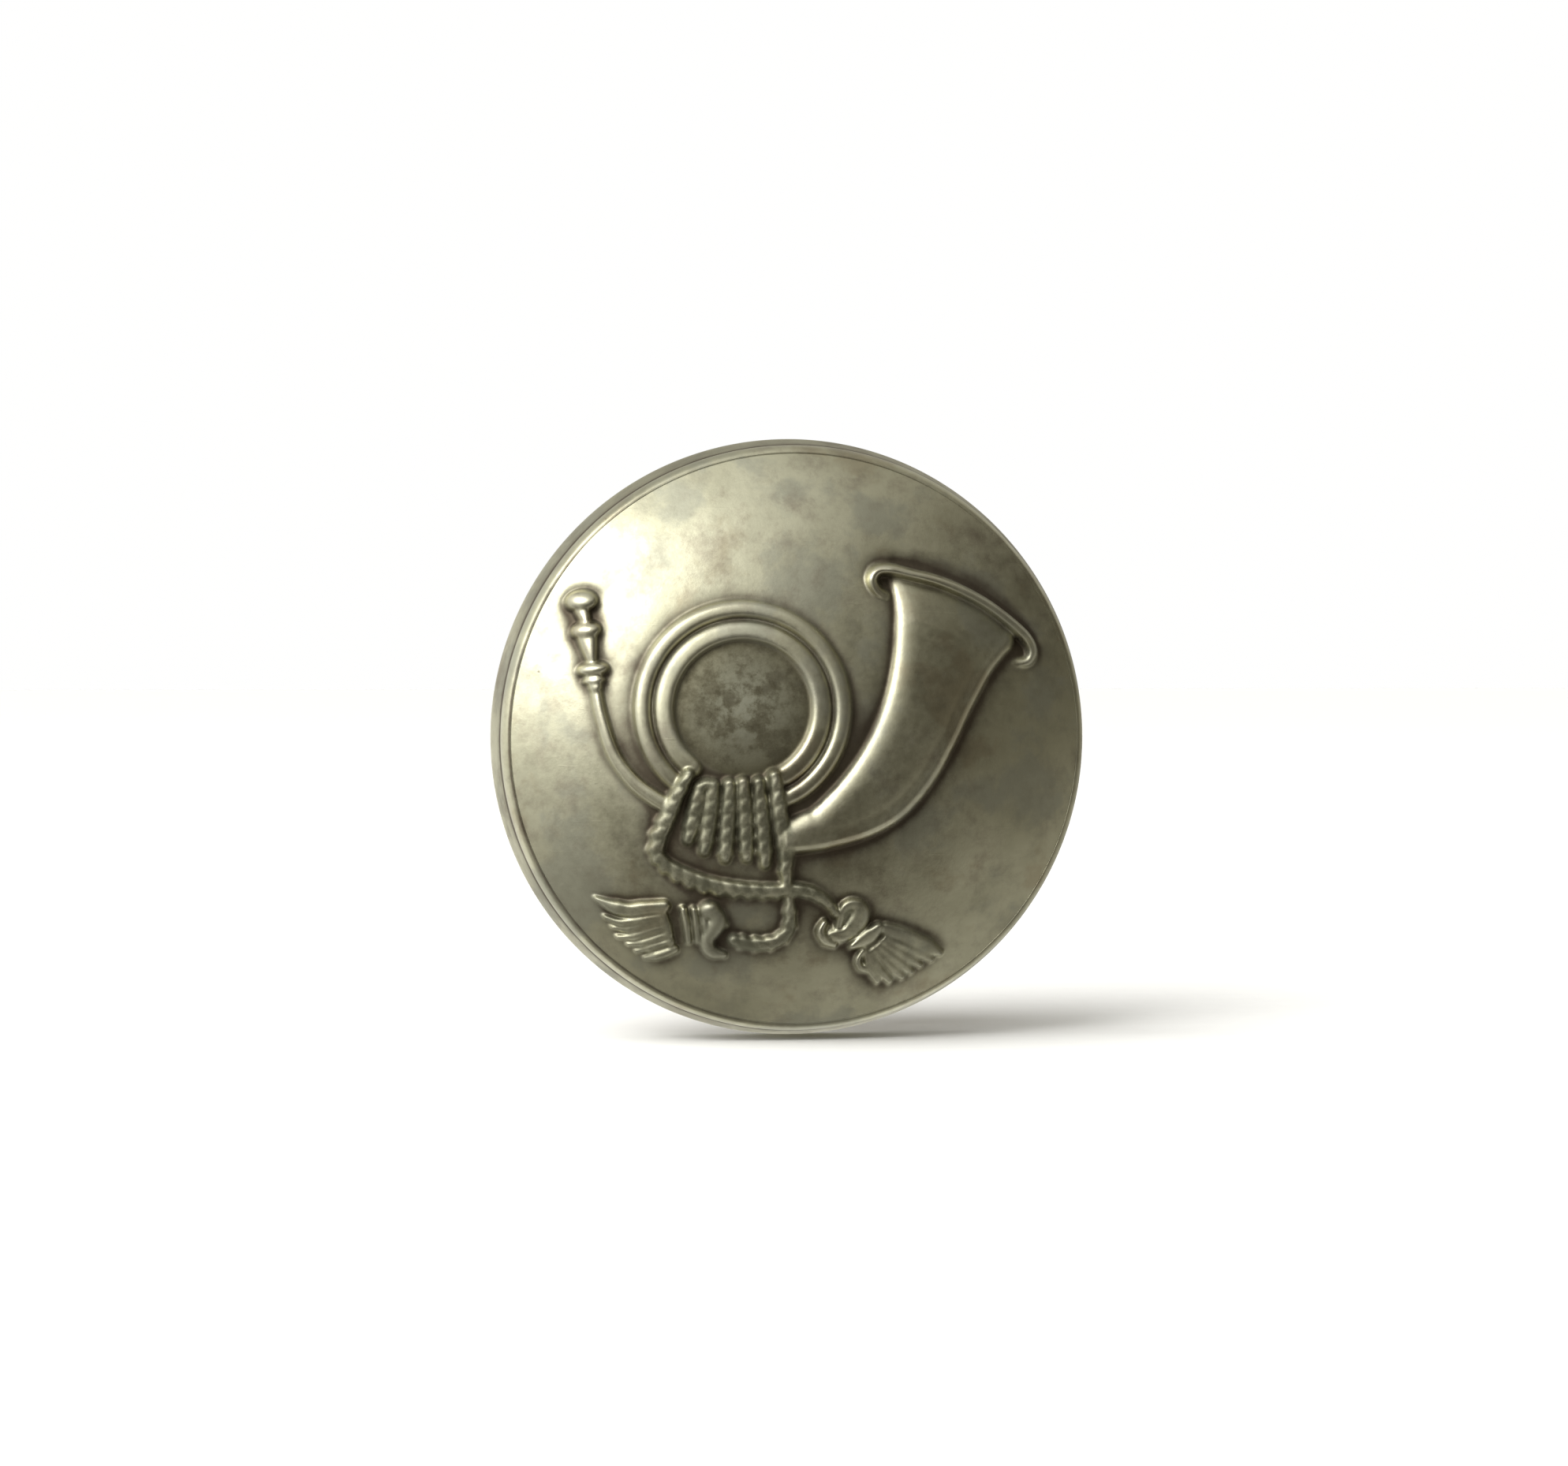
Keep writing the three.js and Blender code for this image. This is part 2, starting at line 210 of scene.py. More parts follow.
def make_floor():
    """A wide pale matt floor that the metal doesn't mirror."""
    corners = [(-1, -1), (1, -1), (1, 1), (-1, 1)]
    points = [(FLOOR_HALF * x, FLOOR_HALF * y, FLOOR_Z) for x, y in corners]
    floor = mesh_object("floor", points, [(0, 1, 2, 3)])
    material, n, shader, place = new_material("pale_floor")
    grain = n.noise(place, 900.0)
    n.put(shader, "Base Color", n.mix(grain, (0.84, 0.84, 0.83), (0.88, 0.88, 0.87)))
    shader.inputs["Roughness"].default_value = 0.9
    floor.data.materials.append(material)
    floor.visible_glossy = False


def make_window():
    """A soft window above left of the camera, which makes the dome's highlight."""
    data = bpy.data.lights.new("window", "AREA")
    data.shape = "RECTANGLE"
    data.size = 0.34
    data.size_y = 0.3
    data.energy = 1.2
    data.color = (1.0, 0.99, 0.96)
    window = bpy.data.objects.new("window", data)
    bpy.context.scene.collection.objects.link(window)
    look_from(window, Vector((-0.71, -0.5, 0.5)).normalized() * 450, Vector((0, 0, 0)))
    window.visible_camera = False


def make_daylight():
    """Broad light from above, which gives the soft shadow on the floor and isn't seen in reflections."""
    data = bpy.data.lights.new("daylight", "SUN")
    data.energy = 2.6
    data.angle = math.radians(50)
    daylight = bpy.data.objects.new("daylight", data)
    bpy.context.scene.collection.objects.link(daylight)
    look_from(daylight, Vector((-60, -30, 100)), Vector((0, 0, 0)))
    daylight.visible_glossy = False


# ---- Meshes ----


def mesh_object(name, points, faces):
    """A smooth-shaded object from points in millimetres."""
    data = bpy.data.meshes.new(name)
    data.from_pydata((np.asarray(points, float) * MM).tolist(), [], faces)
    data.update()
    data.shade_smooth()
    obj = bpy.data.objects.new(name, data)
    bpy.context.scene.collection.objects.link(obj)
    return obj


def add_attribute(obj, name, values):
    """Stores one number for each point, for the materials to read."""
    attribute = obj.data.attributes.new(name, "FLOAT", "POINT")
    attribute.data.foreach_set("value", np.asarray(values, np.float32))


def smooth_path(points, step=0.07):
    """A Catmull-Rom curve through the points, as a dense row of points."""
    p = np.asarray(points, float)
    padded = np.vstack([2 * p[0] - p[1], p, 2 * p[-1] - p[-2]])
    rows = []
    for a, b, c, d in zip(padded, padded[1:], padded[2:], padded[3:]):
        count = max(2, int(np.hypot(*(c - b)) / step))
        t = np.linspace(0, 1, count, endpoint=False)[:, None]
        square_part = (2 * a - 5 * b + 4 * c - d) * t**2
        cube_part = (3 * b - a - 3 * c + d) * t**3
        rows.append(0.5 * (2 * b + (c - a) * t + square_part + cube_part))
    rows.append(p[-1:])
    return np.vstack(rows)


def blurred(field, sigma):
    """Gaussian blur of a square field. sigma is in cells."""
    reach = max(1, int(3 * sigma))
    kernel = np.exp(-0.5 * (np.arange(-reach, reach + 1) / sigma) ** 2)
    kernel /= kernel.sum()
    padded = np.pad(field, reach, mode="edge")
    rows = np.apply_along_axis(lambda line: np.convolve(line, kernel, "valid"), 1, padded)
    return np.apply_along_axis(lambda line: np.convolve(line, kernel, "valid"), 0, rows)


# ---- The struck relief, a field of heights over the dome ----

CELLS = 380  # cells along each side of the grid that is bent into a disc
FINER = 2  # the relief is worked out on a grid this much finer, then thinned, so steep edges stay smooth


def at(value, share):
    """A size at a share of a length. value is a number or a function of the share."""
    return value(share) if callable(value) else value


def quarter_round(share):
    """Rises from 0 to 1 along a quarter circle while share goes from 0 to 1."""
    return np.sqrt(np.clip(1 - (1 - np.clip(share, 0, 1)) ** 2, 0, 1))


class Relief:
    """Heights above the dome on a disc of points, raised shape by shape.

    The stained pans are darkened for soiling and for painted shade, and dull marks the cord and tassels,
    whose fine texture is muted.
    """

    FILLET = 0.1  # how far apart in height two surfaces begin to melt into each other
    STEEP = 2.6  # slope of the skirt outside each shape, which the merging cuts off at the dome

    def __init__(self, radius, cells):
        """The grid is a square bent into a disc, so its cells stay nearly square."""
        u, v = np.meshgrid(np.linspace(-1, 1, cells + 1), np.linspace(-1, 1, cells + 1))
        self.x = radius * u * np.sqrt(1 - v**2 / 2)
        self.z = radius * v * np.sqrt(1 - u**2 / 2)
        self.height = np.zeros_like(self.x)
        self.stain_and_shade = np.zeros_like(self.x)
        self.dull = np.zeros_like(self.x)
        self.cell = 2 * radius / cells

    def near(self, path, margin):
        """The points near a path: their indices, distance to it, share of its length, length and side.

        side is 1 on the left of the path and -1 on its right.
        """
        low, high = path.min(0) - margin, path.max(0) + margin
        x, z = self.x.ravel(), self.z.ravel()
        pick = np.flatnonzero((x > low[0]) & (x < high[0]) & (z > low[1]) & (z < high[1]))
        p = np.stack([x[pick], z[pick]], 1)
        steps = np.diff(path, axis=0)
        lengths = np.hypot(*steps.T)
        starts = np.concatenate([[0], np.cumsum(lengths)])
        distance = np.full(len(p), np.inf)
        along = np.zeros(len(p))
        side = np.ones(len(p))
        for start, step, length, begun in zip(path, steps, lengths, starts):
            offset = p - start
            t = np.clip(offset @ step / length**2, 0, 1)
            away = np.hypot(*(offset - t[:, None] * step).T)
            closer = away < distance
            distance = np.where(closer, away, distance)
            along = np.where(closer, begun + t * length, along)
            cross = step[0] * offset[:, 1] - step[1] * offset[:, 0]
            side = np.where(closer, np.sign(cross), side)
        return pick, distance, along / starts[-1], along, side

    def merge(self, pick, heights):
        """Raises the points to the given heights, with a small fillet where surfaces meet."""
        flat = self.height.ravel()
        old = flat[pick]
        blend = np.maximum(self.FILLET - np.abs(old - heights), 0) ** 2 / (4 * self.FILLET)
        flat[pick] = np.maximum(old, heights) + blend
        self.height = flat.reshape(self.height.shape)

    def tube(self, points, width, height, square=2.4, turn=0, dull=0.0):
        """A rounded bar along a curve. width and height may be functions of the share of its length.

        A larger square makes a flatter top with rounder edges. With turn, the length of one twist, it is a
        cord, with shallow grooves that lean across it and are deeper on its right-hand side. dull is how much
        its soiling mutes the metal.
        """
        pick, distance, share, length, side = self.near(smooth_path(points), 1.2)
        half = at(width, share) / 2
        top = at(height, share)
        if turn:
            across = side * np.clip(distance / half, 0, 1.1)
            groove = 1 - np.abs(np.sin(math.pi * (length / turn + 0.3 * across))) ** 0.8
            groove *= CORD_GROOVE * np.clip(0.55 - 0.15 * across, 0, 1) * 1.8
            top = top * (1 - 0.8 * groove)
            half = half * (1 - 0.45 * groove)
        inside = np.clip(1 - (distance / half) ** square, 0, 1) ** 0.5
        self.dull.ravel()[pick] = np.maximum(self.dull.ravel()[pick], dull * (distance < 1.1 * half))
        self.merge(pick, top * inside - self.STEEP * np.maximum(distance - half, 0))

    def cord(self, points, width, height, lumps=1.0, sides=(-1,)):
        """A bar with shallow slanted grooves and one leaning lump for each turn along its edges.

        lumps, a number or a function of the share of the length, scales them. sides lists the edges that have
        them, where -1 is the right-hand one and 1 the left-hand one.
        """
        self.tube(points, width, height, square=3.4, turn=CORD_TURN, dull=1.0)
        path = smooth_path(points)
        steps = np.diff(path, axis=0)
        places = np.concatenate([[0], np.cumsum(np.hypot(*steps.T))])
        for place in np.arange(0.6 * CORD_TURN, places[-1] - 0.4 * CORD_TURN, CORD_TURN):
            share = place / places[-1]
            uneven = 1 + 0.25 * math.sin(9 * place + 5 * path[0][0])
            size = at(lumps, share) * uneven
            if size <= 0:
                continue
            broad, tall = at(width, share), at(height, share)
            along = steps[np.searchsorted(places, place) - 1]
            along = along / np.hypot(*along)
            middle = np.array([np.interp(place, places, path[:, i]) for i in (0, 1)])
            for side in sides:
                spot = middle + side * np.array([-along[1], along[0]]) * broad * 0.36
                lean = math.atan2(along[1], along[0]) + side * 0.42
                self.bead(spot, (CORD_TURN * 1.1, broad * 0.46 * size), tall * (0.55 + 0.35 * size), lean)

    def sink(self, points, width, depth, stain_and_shade):
        """A shallow pan with a soft edge along a curve, stained dark for soiling and for painted shade."""
        pick, distance, share, _, _ = self.near(smooth_path(points), 2)
        amount = np.clip((width(share) / 2 - distance) / 0.7 + 0.5, 0, 1)
        amount = amount**2 * (3 - 2 * amount)
        self.height.ravel()[pick] -= depth * amount
        self.stain_and_shade.ravel()[pick] = np.maximum(self.stain_and_shade.ravel()[pick], stain_and_shade * amount)

    def bead(self, centre, size, height, lean=0.0):
        """A rounded oval of a length and a width, turned by lean."""
        c, s = math.cos(lean), math.sin(lean)
        dx, dz = self.x.ravel() - centre[0], self.z.ravel() - centre[1]
        a = (c * dx + s * dz) / (size[0] / 2)
        b = (c * dz - s * dx) / (size[1] / 2)
        reach = np.hypot(a, b)
        pick = np.flatnonzero(reach < 2)
        r = reach[pick]
        top = height * np.sqrt(np.clip(1 - r**2, 0, 1))
        self.merge(pick, top - self.STEEP * np.maximum(r - 1, 0) * min(size) / 2)

    def bell(self, inner, outer, mouth, height):
        """The broad cone between two edges: a wide bevel on the inner and a thin ridge on the outer."""
        inner, outer, mouth = smooth_path(inner), smooth_path(outer), smooth_path(mouth)
        outline = np.vstack([inner, mouth[1:-1], outer[::-1]])
        pick, edge, _, _, _ = self.near(np.vstack([outline, outline[:1]]), 0.8)
        p = np.stack([self.x.ravel()[pick], self.z.ravel()[pick]], 1)
        inside = np.zeros(len(p), bool)
        for (ax, az), (bx, bz) in zip(outline, np.roll(outline, -1, axis=0)):
            if az != bz:
                crosses = (az > p[:, 1]) != (bz > p[:, 1])
                inside ^= crosses & (p[:, 0] < (bx - ax) * (p[:, 1] - az) / (bz - az) + ax)
        to_inner = self.distance(p, inner)
        to_outer = self.distance(p, outer)
        share = to_inner / (to_inner + to_outer + 1e-9)
        crown = height * (0.8 + 0.2 * np.sin(math.pi * np.clip(share, 0, 1)))
        crown *= np.clip(0.52 + 0.24 * self.distance(p, mouth), 0, 1)
        bevel = quarter_round(to_inner / BELL_BEVEL)
        shoulder = quarter_round(to_outer / BELL_RIDGE)
        valley = 0.03 * np.exp(-(((to_outer - 0.75) / 0.25) ** 2))
        self.merge(pick, np.where(inside, crown * bevel * shoulder - valley, -self.STEEP * edge))

    @staticmethod
    def distance(p, path):
        """Distance from points to the nearest point of a dense path."""
        nearest = np.full(len(p), np.inf)
        for q in path:
            nearest = np.minimum(nearest, np.hypot(p[:, 0] - q[0], p[:, 1] - q[1]))
        return nearest

    def blur(self, size):
        """The heights blurred over a size in millimetres."""
        return blurred(self.height, size / self.cell)

    def thin(self, step):
        """Keeps every so many points of the grid."""
        for field in ("x", "z", "height", "stain_and_shade", "dull"):
            setattr(self, field, getattr(self, field)[::step, ::step].copy())
        self.cell *= step


def lerp(a, b, t):
    return tuple(np.asarray(a) + (np.asarray(b) - np.asarray(a)) * t)


def taper(*values):
    """A value that goes evenly through the given values along a length."""
    return lambda share: np.interp(share, np.linspace(0, 1, len(values)), values)


COIL_CENTRE = (-2.75, 1.4)
PAN_RADIUS = 2.98
BELL_BEVEL = 1.1
BELL_RIDGE = 0.42
CORD_TURN = 0.62
CORD_GROOVE = 0.14


def arc(centre, radius, start, end, count=20):
    """Points on a circle from one angle to another, in degrees."""
    angles = np.radians(np.linspace(start, end, count))
    return [(centre[0] + radius * math.cos(a), centre[1] + radius * math.sin(a)) for a in angles]


def raise_horn(relief):
    """The bell, two turns of pipe, the pipe up to the mouthpiece and the bell's curled lip."""
    above_lip = [(4.2, 7.85), (5.9, 7.6), (7.3, 7.08), (8.6, 6.36), (9.9, 5.35), (10.6, 4.5)]
    # The dark pan above the lip is soiling with a painted shade beside the lip.
    relief.sink(above_lip, taper(0.4, 0.85, 0.95, 0.85, 0.4), 0.08, 0.72)
    relief.bell(
        inner=[(-1.0, -3.45), (-0.12, -3.07), (0.36, -2.8), (1.62, -1.5), (2.66, 0.02), (3.4, 1.7),
               (3.82, 3.4), (3.98, 4.8), (4.03, 6.0), (3.85, 7.0)],
        mouth=[(3.85, 7.0), (4.0, 7.4), (5.0, 7.24), (5.89, 7.02), (7.1, 6.56), (8.31, 5.94), (9.75, 4.85)],
        outer=[(-1.0, -4.95), (-0.25, -4.93), (1.06, -4.73), (2.89, -4.2), (4.4, -3.32), (5.7, -1.86),
               (6.67, -0.22), (7.38, 1.19), (8.3, 2.75), (8.95, 3.55), (9.45, 4.05), (9.75, 4.85)],
        height=0.76,
    )
    relief.tube(arc(COIL_CENTRE, 4.33, -70, 232), 0.8, 0.4, square=2.8)
    relief.tube(arc(COIL_CENTRE, 3.4, -68, 229), 0.92, 0.36, square=3)
    lead_pipe = [(-9.06, 2.4), (-8.84, 1.11), (-8.31, -0.55), (-7.51, -1.71), (-6.6, -2.45), (-5.8, -2.9)]
    relief.tube(lead_pipe, taper(0.52, 0.64, 0.78), taper(0.38, 0.46))
    lip = [(3.6, 6.32), (3.2, 6.6), (3.02, 7.06), (3.28, 7.42), (3.82, 7.46), (4.7, 7.26), (5.86, 6.98),
           (7.06, 6.53), (8.27, 5.91), (9.5, 5.04), (10.2, 4.4), (10.42, 3.86), (10.2, 3.46), (9.6, 3.36)]
    relief.tube(lip, taper(0.46, 0.56, 0.6, 0.56, 0.6, 0.62, 0.62, 0.62, 0.62, 0.62, 0.56, 0.34),
                taper(0.12, 0.55, 0.85, 0.92, 0.95, 0.95, 0.94, 0.94, 0.92, 0.82, 0.55, 0.04), square=2.2)


def raise_mouthpiece(relief):
    """The turned mouthpiece: four beads and the short tapers between them."""
    lean = math.radians(7)
    # The dark pan round the beads is soiling with a painted shade.
    relief.sink([(-9.62, 6.0), (-9.1, 2.9)], taper(1.6, 1.3, 1.1), 0.1, 0.8)
    relief.tube([(-9.6, 5.7), (-9.43, 5.15)], taper(0.72, 0.5), 0.46)
    relief.tube([(-9.4, 4.6), (-9.2, 3.5)], taper(0.98, 0.5), taper(0.52, 0.4))
    relief.tube([(-9.12, 2.85), (-9.05, 2.35)], taper(0.88, 0.66), 0.48)
    relief.bead((-9.59, 6.08), (1.42, 1.0), 0.64, lean)
    relief.bead((-9.42, 4.8), (1.32, 0.88), 0.62, lean)
    relief.bead((-9.14, 3.1), (1.38, 0.7), 0.64, lean)
    relief.bead((-9.1, 2.62), (1.0, 0.46), 0.54, lean)


def raise_cord(relief):
    """The swag below the coil, the five hanging turns, the two outer cords and the tail to the left knot."""
    late = taper(0.1, 0.3, 0.5, 0.6)
    swag = [(-6.3, -5.1), (-6.0, -5.42), (-5.55, -5.7), (-4.94, -5.98), (-4.03, -6.28), (-2.66, -6.5),
            (-1.47, -6.56), (-0.59, -6.52), (0.16, -6.6), (0.84, -6.95), (1.26, -7.34), (1.38, -7.62)]
    relief.cord(swag, taper(0.6, 0.74, 0.74, 0.72, 0.7, 0.68, 0.6, 0.36), 0.5,
                taper(1, 1, 1, 1, 1, 0.7, 0, 0))
    tops = [(-4.64, -2.0), (-4.06, -1.92), (-3.38, -1.88), (-2.79, -1.8), (-2.11, -1.8)]
    tails = [(-5.08, -4.3), (-4.38, -4.8), (-3.49, -5.1), (-2.56, -5.08), (-1.74, -5.35)]
    for top, tail in zip(tops, tails):
        knee = lerp(top, tail, 0.35)
        path = [top, (knee[0] + 0.03, knee[1]), tail]
        heights = taper(0.66, 0.58, 0.48, 0.44, 0.4)
        relief.cord(path, taper(0.6, 0.74, 0.75, 0.7, 0.52), heights, late, (-1, 1))
    relief.tube([tops[0], (-4.36, -1.86), tops[1]], 0.56, 0.62, dull=1.0)
    outer_heights = taper(0.8, 0.74, 0.56, 0.5, 0.5)
    left = [(-5.12, -1.42), (-5.4, -1.95), (-5.72, -2.6), (-6.04, -3.45), (-6.32, -4.2), (-6.42, -4.8),
            (-6.36, -5.15)]
    relief.cord(left, taper(0.56, 0.7, 0.74, 0.74, 0.66), outer_heights, taper(0, 0.2, 0.8, 1))
    right = [(-1.45, -1.5), (-1.36, -2.0), (-1.22, -2.9), (-1.02, -4.09), (-0.84, -5.1), (-0.86, -5.7),
             (-0.78, -6.25)]
    relief.cord(right, taper(0.6, 0.76, 0.76, 0.68, 0.5), outer_heights, late, (-1, 1))
    tail = [(-0.66, -6.95), (-0.62, -7.4), (-0.6, -8.0), (-0.78, -8.5), (-1.25, -8.84), (-1.8, -8.94),
            (-2.4, -8.92), (-3.02, -8.74)]
    relief.cord(tail, taper(0.44, 0.58, 0.64, 0.64, 0.54), 0.48, 0.7, sides=(-1, 1))


def raise_left_tassel(relief):
    """A fan of strands over a low body, and three binding ribs. A strand is a path, a width and a height."""
    strands = [
        ([(-8.99, -6.95), (-8.23, -7.3), (-7.58, -7.44), (-7.01, -7.36), (-6.08, -7.26)], 0.62, 0.54),
        ([(-8.58, -7.78), (-7.98, -7.99), (-7.24, -7.93), (-6.25, -7.72)], 0.38, 0.45),
        ([(-8.26, -8.24), (-7.56, -8.31), (-6.75, -8.12), (-6.1, -7.95)], 0.37, 0.42),
        ([(-8.02, -8.69), (-7.31, -8.62), (-6.58, -8.38), (-5.95, -8.2)], 0.38, 0.44),
        ([(-7.58, -9.0), (-6.97, -8.93), (-6.3, -8.7), (-5.78, -8.5)], 0.34, 0.42),
        ([(-7.2, -9.32), (-6.31, -9.04), (-5.7, -8.84)], 0.34, 0.45),
        ([(-6.82, -9.62), (-6.14, -9.44), (-5.56, -9.2)], 0.42, 0.46),
    ]
    relief.tube([(-7.1, -7.75), (-6.75, -8.3), (-6.3, -9.05)], taper(1.1, 1.9, 1.1), 0.3, dull=0.5)
    relief.tube([(-6.2, -7.35), (-6.02, -8.0), (-5.74, -9.0)], taper(0.4, 0.6, 0.4), 0.36, square=3, dull=0.5)
    for path, width, height in strands:
        top = taper(0.55 * height, height, height, 0.85 * height)
        relief.tube(path, taper(0.2, width * 1.16, width * 1.16, width), top, square=3, dull=0.6)
    rib_z = -8.1
    ribs = [
        (-5.25, -5.07, -4.97, 1.44, 0.42),
        (-4.79, -4.66, -4.56, 1.42, 0.43),
        (-4.36, -4.28, -4.2, 1.1, 0.44),
    ]
    for top, middle, foot, length, width in ribs:
        path = [(top, rib_z + length / 2), (middle, rib_z), (foot, rib_z - length / 2)]
        relief.tube(path, taper(0.8 * width, width, 0.8 * width), taper(0.42, 0.5, 0.36), dull=0.4)


def raise_left_knot(relief):
    """A round knot with a loose loop below it."""
    relief.bead((-4.12, -7.4), (1.0, 0.86), 0.68)
    loop = [(-4.1, -7.5), (-3.86, -7.66), (-3.78, -7.94), (-3.98, -8.35), (-4.16, -8.75), (-4.08, -9.14),
            (-3.86, -9.34), (-3.42, -9.44)]
    widths = taper(0.6, 0.86, 0.92, 0.8, 0.66, 0.64, 0.58, 0.36)
    relief.tube(loop, widths, taper(0.6, 0.6, 0.55, 0.5, 0.5, 0.36), square=2.2, dull=0.4)
    relief.tube([(-3.66, -7.8), (-3.34, -8.1)], taper(0.6, 0.28), taper(0.42, 0.26))


def raise_right_tassel(relief):
    """A fan of strands over a low body. A strand is a path and a width."""
    strands = [
        ([(2.7, -9.35), (2.52, -9.7), (2.64, -10.05), (3.02, -10.26)], 0.4),
        ([(2.8, -9.3), (3.08, -10.1), (3.5, -10.74)], 0.46),
        ([(3.05, -9.4), (3.55, -10.2), (4.06, -10.76)], 0.48),
        ([(3.25, -9.25), (3.95, -10.0), (4.62, -10.58)], 0.48),
        ([(3.45, -9.1), (4.3, -9.8), (5.04, -10.36)], 0.48),
        ([(3.6, -8.9), (4.6, -9.55), (5.44, -10.06)], 0.48),
        ([(3.75, -8.75), (4.9, -9.3), (5.94, -9.82)], 0.48),
        ([(3.7, -8.34), (4.6, -8.66), (5.5, -9.12), (6.34, -9.54)], 0.86),
    ]
    relief.tube([(2.9, -8.9), (3.7, -9.45), (4.3, -9.85)], taper(1.0, 1.8, 1.7), 0.22, dull=0.5)
    for path, width in strands:
        relief.tube(path, taper(width * 0.72, width * 0.78, width * 0.86, width * 0.95, 0.3),
                    taper(0.38, 0.44, 0.43, 0.36), square=3.4, dull=0.5)


def raise_right_knot(relief):
    """An arch of cord, a small loop on its left and two bands across to the tassel."""
    relief.tube([(1.0, -8.5), (1.6, -8.6), (2.3, -8.3)], 0.9, 0.24)
    relief.tube([(1.98, -7.5), (1.9, -7.95)], 0.4, 0.34, dull=1.0)
    arch = [(1.58, -8.2), (1.66, -7.72), (1.8, -7.34), (2.12, -7.2), (2.42, -7.36), (2.5, -7.76),
            (2.28, -8.14), (1.85, -8.4), (1.25, -8.54)]
    relief.tube(arch, taper(0.4, 0.44, 0.52, 0.64, 0.9, 0.98, 0.86, 0.62, 0.4),
                taper(0.38, 0.46, 0.52, 0.5, 0.42), square=3.2, dull=0.6)
    small_loop = [(0.92, -7.98), (0.77, -8.38), (0.98, -8.78), (1.42, -9.0)]
    relief.tube(small_loop, taper(0.34, 0.5, 0.52, 0.34), taper(0.46, 0.58, 0.44), square=2.2, dull=0.5)
    thin_band = [(1.35, -8.66), (1.86, -8.7), (2.35, -8.5)]
    relief.tube(thin_band, taper(0.3, 0.4, 0.34), 0.46, square=2.2, dull=0.5)
    broad_band = [(2.22, -9.06), (2.68, -8.82), (3.1, -8.52), (3.34, -8.28)]
    relief.tube(broad_band, taper(0.4, 0.76, 0.84, 0.56), 0.54, square=3, dull=0.5)


def dome_y(radius):
    """Where the plain dome is at a distance from the badge's axis."""
    return DOME_CENTRE_Y - np.sqrt(DOME_RADIUS**2 - radius**2)


def gentle_waves(x, z, seed, amount, longest, shortest, count=26):
    """Low waves in a few directions, as hand-planished or worn sheet has."""
    rng = np.random.default_rng(seed)
    total = np.zeros_like(x)
    for _ in range(count):
        angle = rng.uniform(0, 2 * math.pi)
        length = rng.uniform(shortest, longest)
        phase = rng.uniform(0, 2 * math.pi)
        along = x * math.cos(angle) + z * math.sin(angle)
        total += length / longest * np.sin(2 * math.pi * along / length + phase)
    return amount * total / math.sqrt(count)


def make_relief():
    """Raises every shape, then softens the steepest walls most, because a grid steps along a steep wall."""
    relief = Relief(SEAM_RADIUS, CELLS * FINER)
    raise_horn(relief)
    raise_mouthpiece(relief)
    raise_left_tassel(relief)
    raise_left_knot(relief)
    raise_right_tassel(relief)
    raise_right_knot(relief)
    raise_cord(relief)
    fine, soft = relief.blur(0.052), relief.blur(0.13)
    slope = blurred(np.hypot(*np.gradient(fine, relief.cell)), 0.06 / relief.cell)
    relief.height = fine + (soft - fine) * np.clip((slope - 2.6) / 2.4, 0, 1)
    relief.dull = blurred(relief.dull, 0.05 / relief.cell)
    relief.thin(FINER)
    return relief


def face_shape(relief):
    """Where the face is, and how much each point has of what the material shows.

    The darkening mark is tarnish in the hollows plus painted shade in the creases and in a halo round the
    relief;
    worn is polish on the ridges, pan is the dark disc inside the coil, and scoured is the paler patch in the
    middle of it.
    """
    height, x, z = relief.height, relief.x, relief.z
    radius = np.hypot(x, z)
    edge = np.clip((SEAM_RADIUS - radius) / 0.6, 0, 1)
    raised = np.clip(height / 0.12, 0, 1)
    trough = -0.3 * relief.blur(0.42)
    waves = gentle_waves(x, z, 5, 0.016, 9, 3) + gentle_waves(x, z, 6, 0.004, 2.6, 1.2)
    y = dome_y(radius) - (height + trough + waves * (1 - 0.6 * raised)) * edge

    close = relief.blur(0.16)
    # Tarnish in the hollows plus painted shade: darker in the creases, and in a halo on the ground round the
    # raised shapes.
    creases = 3.5 * np.clip(close - height, 0, 1) + 2.4 * np.clip(relief.blur(0.45) - height, 0, 1)
    halo = 1.8 * np.clip(relief.blur(0.9), 0, 1) * (1 - raised)
    patina_and_shade = np.clip(np.maximum(creases + halo, relief.stain_and_shade * (1 - raised)), 0, 1)
    from_coil = np.hypot(x - COIL_CENTRE[0], z - COIL_CENTRE[1])
    pan = np.clip((PAN_RADIUS - from_coil) / 0.15, 0, 1)
    return y, {
        "patina_and_shade": blurred(patina_and_shade, 0.08 / relief.cell),
        "worn": np.clip(5 * (height - close), 0, 1),
        "pan": pan,
        "scoured": np.clip(1.25 - from_coil / 2.2, 0, 1) * pan,
        "dull": relief.dull,
    }


def rim_outside():
    """Rows of (inset from the rim, y, darkening): seam groove, shoulder, waist, flared wall, turned edge."""
    return [
        (0.78, -3.092, 0.7), (0.74, -3.08, 0.7), (0.69, -3.06, 0.4), (0.62, -3.0, 0.1), (0.55, -2.89, 0.0),
        (0.48, -2.72, 0.0), (0.43, -2.52, 0.1), (0.4, -2.3, 0.4), (0.4, -2.16, 1.0), (0.38, -2.06, 0.9),
        (0.32, -1.84, 0.45), (0.22, -1.45, 0.35), (0.12, -1.05, 0.35), (0.04, -0.76, 0.3), (0.0, -0.5, 0.2),
        (0.02, -0.28, 0.3), (0.1, -0.12, 0.4), (0.22, -0.03, 0.5), (0.4, 0.0, 0.5), (0.9, -0.01, 0.5),
        (1.4, 0.0, 0.5), (1.66, -0.01, 0.5), (1.74, -0.06, 0.7), (1.75, -0.2, 1.0),
    ]


